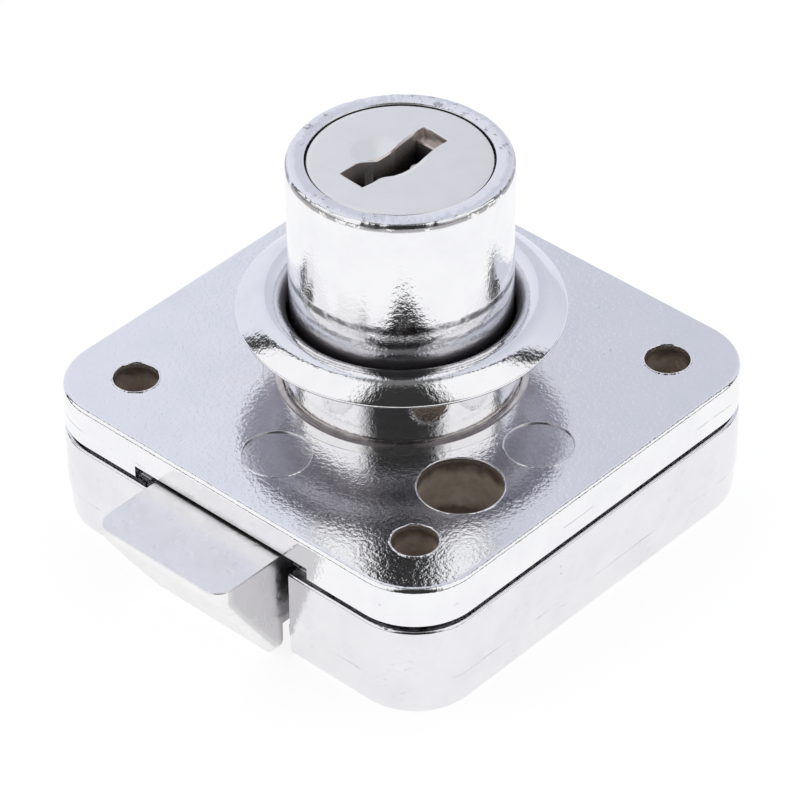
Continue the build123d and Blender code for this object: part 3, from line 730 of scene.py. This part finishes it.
def add_block(bm, low, high, bevel):
    """A block whose upper edges are broken."""
    levels = ((0, low[2]), (0, high[2] - bevel), (bevel, high[2]))
    rings = []
    for inset, height in levels:
        corners = (
            (low[0] + inset, low[1] + inset), (high[0] - inset, low[1] + inset),
            (high[0] - inset, high[1] - inset), (low[0] + inset, high[1] - inset),
        )
        rings.append([add_vert(bm, x, y, height) for x, y in corners])
    for a, b in zip(rings, rings[1:]):
        for s in range(4):
            bm.faces.new((a[s], a[(s + 1) % 4], b[(s + 1) % 4], b[s]))
    bm.faces.new(list(reversed(rings[0])))
    bm.faces.new(rings[-1])


def add_bead(bm, centre, radius, height, thick, seed, rough):
    """An uneven ring of plating, as where a hole breaks the face."""
    points, radii = [], []
    for angle in round_steps(120):
        spot = Vector((cos(angle), sin(angle), 0)) * 3 + Vector((seed * 7.1, seed * 3.3, seed))
        wobble = noise.noise(spot)
        fine = noise.noise(spot * 4.3)
        reach = radius + rough * (0.6 * wobble + 0.5 * fine)
        x = centre[0] + reach * cos(angle)
        y = centre[1] + reach * sin(angle)
        points.append(Vector((x, y, height + 0.3 * rough * fine)))
        radii.append(thick * (1 + 0.45 * wobble + 0.35 * fine))
    add_tube(bm, points, radii, 8, closed=True)


def coil_points(centre, radius, wire, start, end, turns):
    """A compression spring along Y whose end turns lie close."""
    pitch = wire * CLOSED_PITCH
    room = end - start - wire
    live = room - 2 * CLOSED_TURNS * pitch
    points = []
    for k in range(TURN_STEPS * turns + 1):
        turn = k / TURN_STEPS
        if turn < CLOSED_TURNS:
            along = turn * pitch
        elif turn > turns - CLOSED_TURNS:
            along = room - (turns - turn) * pitch
        else:
            along = CLOSED_TURNS * pitch + live * (turn - CLOSED_TURNS) / (turns - 2 * CLOSED_TURNS)
        angle = 2 * pi * turn
        x = centre[0] + radius * cos(angle)
        z = centre[1] + radius * sin(angle)
        points.append(Vector((x, start + wire / 2 + along, z)))
    return points


def make_spring(node, wire, turns, body, material):
    low, high = (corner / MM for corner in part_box(node))
    centre = ((low.x + high.x) / 2, (low.z + high.z) / 2)
    radius = min(high.x - low.x, high.z - low.z) / 2 - wire / 2
    points = coil_points(centre, radius, wire, low.y, high.y, turns)
    bm = bmesh.new()
    add_tube(bm, points, [wire / 2] * len(points), 10)
    return finish_piece(f"coil_{node}", bm, material, body, [node])


def arc(centre, radius, angles):
    """Points of (radius, height) on an arc, from straight up at nought towards the outside."""
    return [(centre[0] + radius * sin(a), centre[1] + radius * cos(a)) for a in angles]


def ring_profile():
    """The rolled collar in section: foot, inner wall, roll over the crown, curved flange and underside."""
    roll = CROWN - RING_BORE
    crown = (CROWN, CROWN_TOP - roll)
    top = [(crown[0] - roll * cos(a), crown[1] + roll * sin(a)) for a in steps_of(pi / 2, 14)]
    over = arc(crown, roll, steps_of(FLANGE_START, 8)[1:])
    turned = over[-1]
    long = (RIM - LIP * (1 - sin(FLANGE_END)) - turned[0]) / (sin(FLANGE_END) - sin(FLANGE_START))
    centre = (turned[0] - long * sin(FLANGE_START), turned[1] - long * cos(FLANGE_START))
    sweep = steps_of(FLANGE_END - FLANGE_START, 8, FLANGE_START)[1:]
    flange = arc(centre, long, sweep)
    lip = (flange[-1][0] - LIP * sin(FLANGE_END), flange[-1][1] - LIP * cos(FLANGE_END))
    edge = arc(lip, LIP, steps_of(LIP_END - FLANGE_END, 8, FLANGE_END)[1:])
    under = arc(centre, long - SHEET, reversed(sweep))
    inner = roll - SHEET
    bend = reversed(steps_of(pi / 2 + FLANGE_START, 14))
    lower = [(crown[0] - inner * cos(a), crown[1] + inner * sin(a)) for a in bend]
    outside = RING_BORE + SHEET
    end, start = RING_FOOT
    foot = [(outside, start), (outside, end), (RING_BORE, end), (RING_BORE, start)]
    return foot + top + over + flange + edge + under + lower + [foot[0]]


def barrel_profile():
    """The barrel in section: foot and flange, outer wall, rounded rim, joint round the plug and bore."""
    middle = (BARREL - RIM_ROUND, BARREL_TOP - RIM_ROUND)
    rim = [(middle[0] + RIM_ROUND * cos(a), middle[1] + RIM_ROUND * sin(a)) for a in steps_of(pi / 2, 10)]
    outer = [
        (BARREL, -1.8), (BARREL, -0.8), (BARREL_FLANGE, -0.8), (BARREL_FLANGE, 0.0),
        (BARREL, 0.0), (BARREL, 1.0), (BARREL, 18.0),
    ]
    inner = [
        (7.22, BARREL_TOP), (7.14, 19.76), (7.11, 19.66), (7.1, 19.2), (7.1, 17.98),
        (6.85, 17.98), (6.85, 17.3), (7.55, 17.2), (7.55, -1.8), (BARREL, -1.8),
    ]
    return outer + rim + inner


def ridge_profile():
    """The line of grease round the barrel's foot in section."""
    parts = steps_of(1, 10)
    swell = [(RIDGE_FOOT + RIDGE_WIDE * part, RIDGE_HIGH * cos(pi / 2 * part) ** 2) for part in parts]
    base = [(RIDGE_FOOT + RIDGE_WIDE, RIDGE_BASE), (RIDGE_FOOT, RIDGE_BASE)]
    return base[1:] + swell + base


def roughen(bm, radius, height, deep):
    """Eats a little into the rim, more at some places than at others."""
    for vert in bm.verts:
        spot = vert.co / MM
        if spot.xy.length > radius and spot.z > height:
            bite = noise.noise(spot * 0.9) + 0.7 * noise.noise(spot * 3.1 + Vector((9, 0, 0)))
            way = Vector((spot.x, spot.y, 0)).normalized() + Vector((0, 0, 1))
            vert.co -= way * deep * max(0, bite) * MM


def reach_to(corners, centre, angle):
    """How far the outline is from the centre in the direction of the angle."""
    way = Vector((cos(angle), sin(angle)))
    found = 0
    for a, b in zip(corners, corners[1:] + corners[:1]):
        start = Vector(a) - centre
        run = Vector(b) - Vector(a)
        cross = way.x * run.y - way.y * run.x
        if abs(cross) > 1e-9:
            far = (start.x * run.y - start.y * run.x) / cross
            part = (start.x * way.y - start.y * way.x) / cross
            if far > 0 and -1e-6 <= part <= 1 + 1e-6:
                found = max(found, far)
    return found


def plug_cap():
    """The plug's face with its shallow hollow, and the keyway with a bevelled edge."""
    bm = bmesh.new()
    rows = []
    for angle in round_steps(360):
        way = Vector((cos(angle), sin(angle)))
        opening = reach_to(KEYWAY_EDGE, KEYWAY_CENTRE, angle)
        inner = min(opening - 0.07, reach_to(KEYWAY_BORE, KEYWAY_CENTRE, angle) - 0.08)
        across = KEYWAY_CENTRE.dot(way)
        outer = -across + (across ** 2 + CAP_RADIUS ** 2 - KEYWAY_CENTRE.length_squared) ** 0.5
        edge = outer - CAP_ROUND
        row = [(inner, KEYWAY_DEEP), (inner, FACE - CAP_ROUND)]
        row += [(opening - 0.02, FACE - 0.012), (opening, FACE)]
        row += [(opening + (edge - opening) * part / 16, FACE) for part in range(1, 17)]
        row += arc((edge, FACE - CAP_ROUND), CAP_ROUND, steps_of(pi / 2, 5)[1:])
        row.append((outer, FACE - CAP_SKIRT))
        spots = []
        for far, height in row:
            spot = KEYWAY_CENTRE + way * far
            if height == FACE:
                close = min(1, (spot - HOLLOW).length / HOLLOW_RADIUS)
                height -= HOLLOW_DEEP * (1 - close ** 2) ** 2
            spots.append(add_vert(bm, spot.x, spot.y, height))
        rows.append(spots)
    join_rows(bm, rows, closed=True)
    return bm


def in_keyway(middle, normal):
    """Whether a part of the plug's cap is a wall or a bevel of the keyway."""
    if middle.xy.length >= 6.5 or (middle.z >= 19.3 and normal.z >= 0.9):
        return False
    away = middle.xy - KEYWAY_CENTRE
    return reach_to(KEYWAY_EDGE, KEYWAY_CENTRE, away.angle_signed(Vector((1, 0)))) >= away.length - 0.01


def add_cross_head(bm, centre, top):
    """A countersunk head, facing down, with a cross recess."""
    arm, half = HEAD * 0.62, HEAD * 0.15
    cross = []
    for k in range(4):
        turn = Matrix.Rotation(k * pi / 2, 2)
        cross += [turn @ Vector(p) for p in ((arm, -half), (arm, half), (half, half))]
    rows = []
    for angle in round_steps(96):
        angle += 0.01
        way = Vector((cos(angle), sin(angle)))
        edge = reach_to(cross, Vector((0, 0)), angle)
        row = [(edge * 0.55, RECESS), (edge * 0.9, 0.08), (edge, 0), (HEAD - 0.12, 0)]
        row += [(HEAD - 0.03, 0.04), (HEAD, 0.12), (HEAD, 0.25), (SHANK, 1.4)]
        spots = [(Vector(centre) + way * far, top + up) for far, up in row]
        rows.append([add_vert(bm, spot.x, spot.y, height) for spot, height in spots])
    join_rows(bm, rows, closed=False)
    bm.faces.new([row[0] for row in rows])
    bm.faces.new([row[-1] for row in reversed(rows)])


make_camera()
make_world()
make_floor()

cast = make_chrome("cast_chrome", fine=0.023, broad=0.010, grain=0.005, extras=plate_extras, roughness=0.045)
tray = make_chrome(
    "tray_chrome", fine=0.014, broad=0.01, grain=0.003, extras=tray_extras,
    colour=(0.85, 0.845, 0.87, 1), roughness=0.11,
)
drawn = make_chrome("barrel_chrome", fine=0.016, broad=0.008, grain=0.004, extras=barrel_extras)
smooth = make_chrome("sheet_chrome", fine=0.016, broad=0.006, grain=0.005, extras=ring_extras, roughness=0.05)
satin = make_satin(
    "satin_bolt", (0.96, 0.95, 0.96, 1), 0.34, grain=(1.2, 0.25, 1.2), depth=0.006, mottle=0.02,
    bolt_shade_and_dents=True,
)
underside = make_satin("ring_underside", (0.52, 0.51, 0.55, 1), 0.25, grain=(2.0, 2.0, 2.0), depth=0.01)
joint = make_satin("joint_line", (0.72, 0.67, 0.64, 1), 0.18, grain=(2.0, 2.0, 2.0), depth=0.01, mottle=0.15)
face = make_satin(
    "satin_plug", (0.96, 0.955, 0.93, 1), 0.2, grain=(5.0, 0.6, 1.0), depth=0.0012, mottle=0.012,
    metallic=0.75,
)
nickel = make_satin(
    "keyway_nickel", (0.80, 0.73, 0.70, 1), 0.22, grain=(2.0, 2.0, 0.8), depth=0.0015, mottle=0.03,
    metallic=0.7, dark_below=KEYWAY_DARK,
)
# Painted shade for the bore's mouth in the joint between barrel and plug.
gap_shade = make_satin("joint_grime", (0.10, 0.09, 0.09, 1), 0.5, grain=(2.0, 2.0, 2.0), depth=0.01)
steel = make_satin("bright_steel", (0.70, 0.70, 0.69, 1), 0.3, grain=(6.0, 0.8, 6.0), depth=0.006, wear=0.5)
screw = make_satin("screw_zinc", (0.74, 0.76, 0.78, 1), 0.24, grain=(3.0, 3.0, 3.0), depth=0.004)
wire = make_satin("spring_wire", (0.58, 0.59, 0.61, 1), 0.22, grain=(1.0, 6.0, 1.0), depth=0.003)
brass = make_satin("wafer_brass", (0.46, 0.40, 0.33, 1), 0.35, grain=(0.6, 6.0, 6.0), depth=0.005)

paint(cast, "front_plate")
paint(tray, "back_case")
paint(drawn, "barrel")
paint(smooth, "trim_ring")
paint(satin, "latch_bolt")
paint(face, "plug")
paint(steel, "drive_cam", "drive_pin", "cam_screw")
paint(screw, "case_screws")
paint(brass, *(f"wafer_{k}" for k in range(1, 6)))

# Springs. The bolt's ride with the housing at their built length; the real ones go from 14.5 to 9 mm long.
for name in ("bolt_spring_left", "bolt_spring_right"):
    coil = make_spring(name, *BOLT_SPRING, "housing", wire)
    low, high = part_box(name)
    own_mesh(coil)
for k in range(1, 6):
    make_spring(f"wafer_spring_{k}", *WAFER_SPRING, "plug", wire)

# Lips round the holes
lips = bmesh.new()
for k, (x, y) in enumerate(((1, 1), (1, -1), (-1, 1), (-1, -1))):
    add_bead(lips, (x * FIXING, y * FIXING), FIXING_RADIUS + 0.04, -0.01, 0.085, seed=k + 1, rough=0.09)
add_bead(lips, PEG, PEG_RADIUS + 0.03, -0.02, 0.08, seed=6, rough=0.06)
finish_piece("hole_lips", lips, cast, "housing")

# The ridge where the collar's neck stands, and the joint between the barrel's flange and the plate
ridge = bmesh.new()
add_lathe(ridge, ridge_profile(), (0, 0), 160)
finish_piece("neck_ridge", ridge, joint, "housing")
circles = bmesh.new()
add_bead(circles, (0, 0), 9.32, 0.0, 0.1, seed=41, rough=0.03)
add_bead(circles, (0, 0), 10.66, -0.02, 0.03, seed=31, rough=0.02)
finish_piece("flange_joint", circles, joint, "housing")

# Barrel with a rounded rim, and painted shade on the bore's mouth in the joint round the plug
shell = bmesh.new()
add_lathe(shell, barrel_profile(), (0, 0), 320)
roughen(shell, RIM_INSIDE, RIM_START, RIM_ROUGH)
barrel = finish_piece("barrel_shell", shell, drawn, "housing", ["barrel"])
repaint(barrel, gap_shade, lambda middle, normal: middle.xy.length < JOINT_RADIUS and middle.z < JOINT_TOP)
sharpen(barrel)

# Trim ring
collar = bmesh.new()
add_lathe(collar, ring_profile(), (0, 0), 160)
ring = finish_piece("ring_shell", collar, smooth, "trim_ring", ["trim_ring"])
repaint(ring, underside, lambda middle, normal: middle.z > UNDERSIDE and normal.z < -0.15)
sharpen(ring)

# Plug face, with the wards of the keyway
cap = finish_piece("plug_face", plug_cap(), face, "plug")
repaint(cap, nickel, in_keyway)
sharpen(cap)
wards = bmesh.new()
add_block(wards, (-1.6, 3.4, KEYWAY_DEEP), (1.0, 4.3, 18.9), 0.1)
add_lathe(
    wards, [(0, KEYWAY_DEEP), (0.65, KEYWAY_DEEP), (0.65, 18.7), (0.58, 18.83), (0.42, 18.9), (0, 18.92)],
    (0.95, 0.9), 32,
)
sharpen(finish_piece("keyway_wards", wards, nickel, "plug"))

# Screws in the back of the case
low, high = (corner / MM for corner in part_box("case_screws"))
heads = bmesh.new()
shank = [(0, low.z + 1.3), (SHANK, low.z + 1.3), (SHANK, high.z - 0.4), (0, high.z)]
for side in (-1, 1):
    add_cross_head(heads, (side * CASE_SCREW, 0), low.z)
    add_lathe(heads, shank, (side * CASE_SCREW, 0), 32)
sharpen(finish_piece("screw_heads", heads, screw, "housing", ["case_screws"]))

# Raised outlines of the round marks
outlines = bmesh.new()
for k in range(4):
    middle = (MARK_CIRCLE * cos(k * pi / 2), MARK_CIRCLE * sin(k * pi / 2))
    add_bead(outlines, middle, MARK_RADIUS, -0.005, 0.06, seed=20 + k, rough=0.04)
finish_piece("mark_outlines", outlines, cast, "housing")

bpy.context.scene.view_settings.view_transform = "Standard"
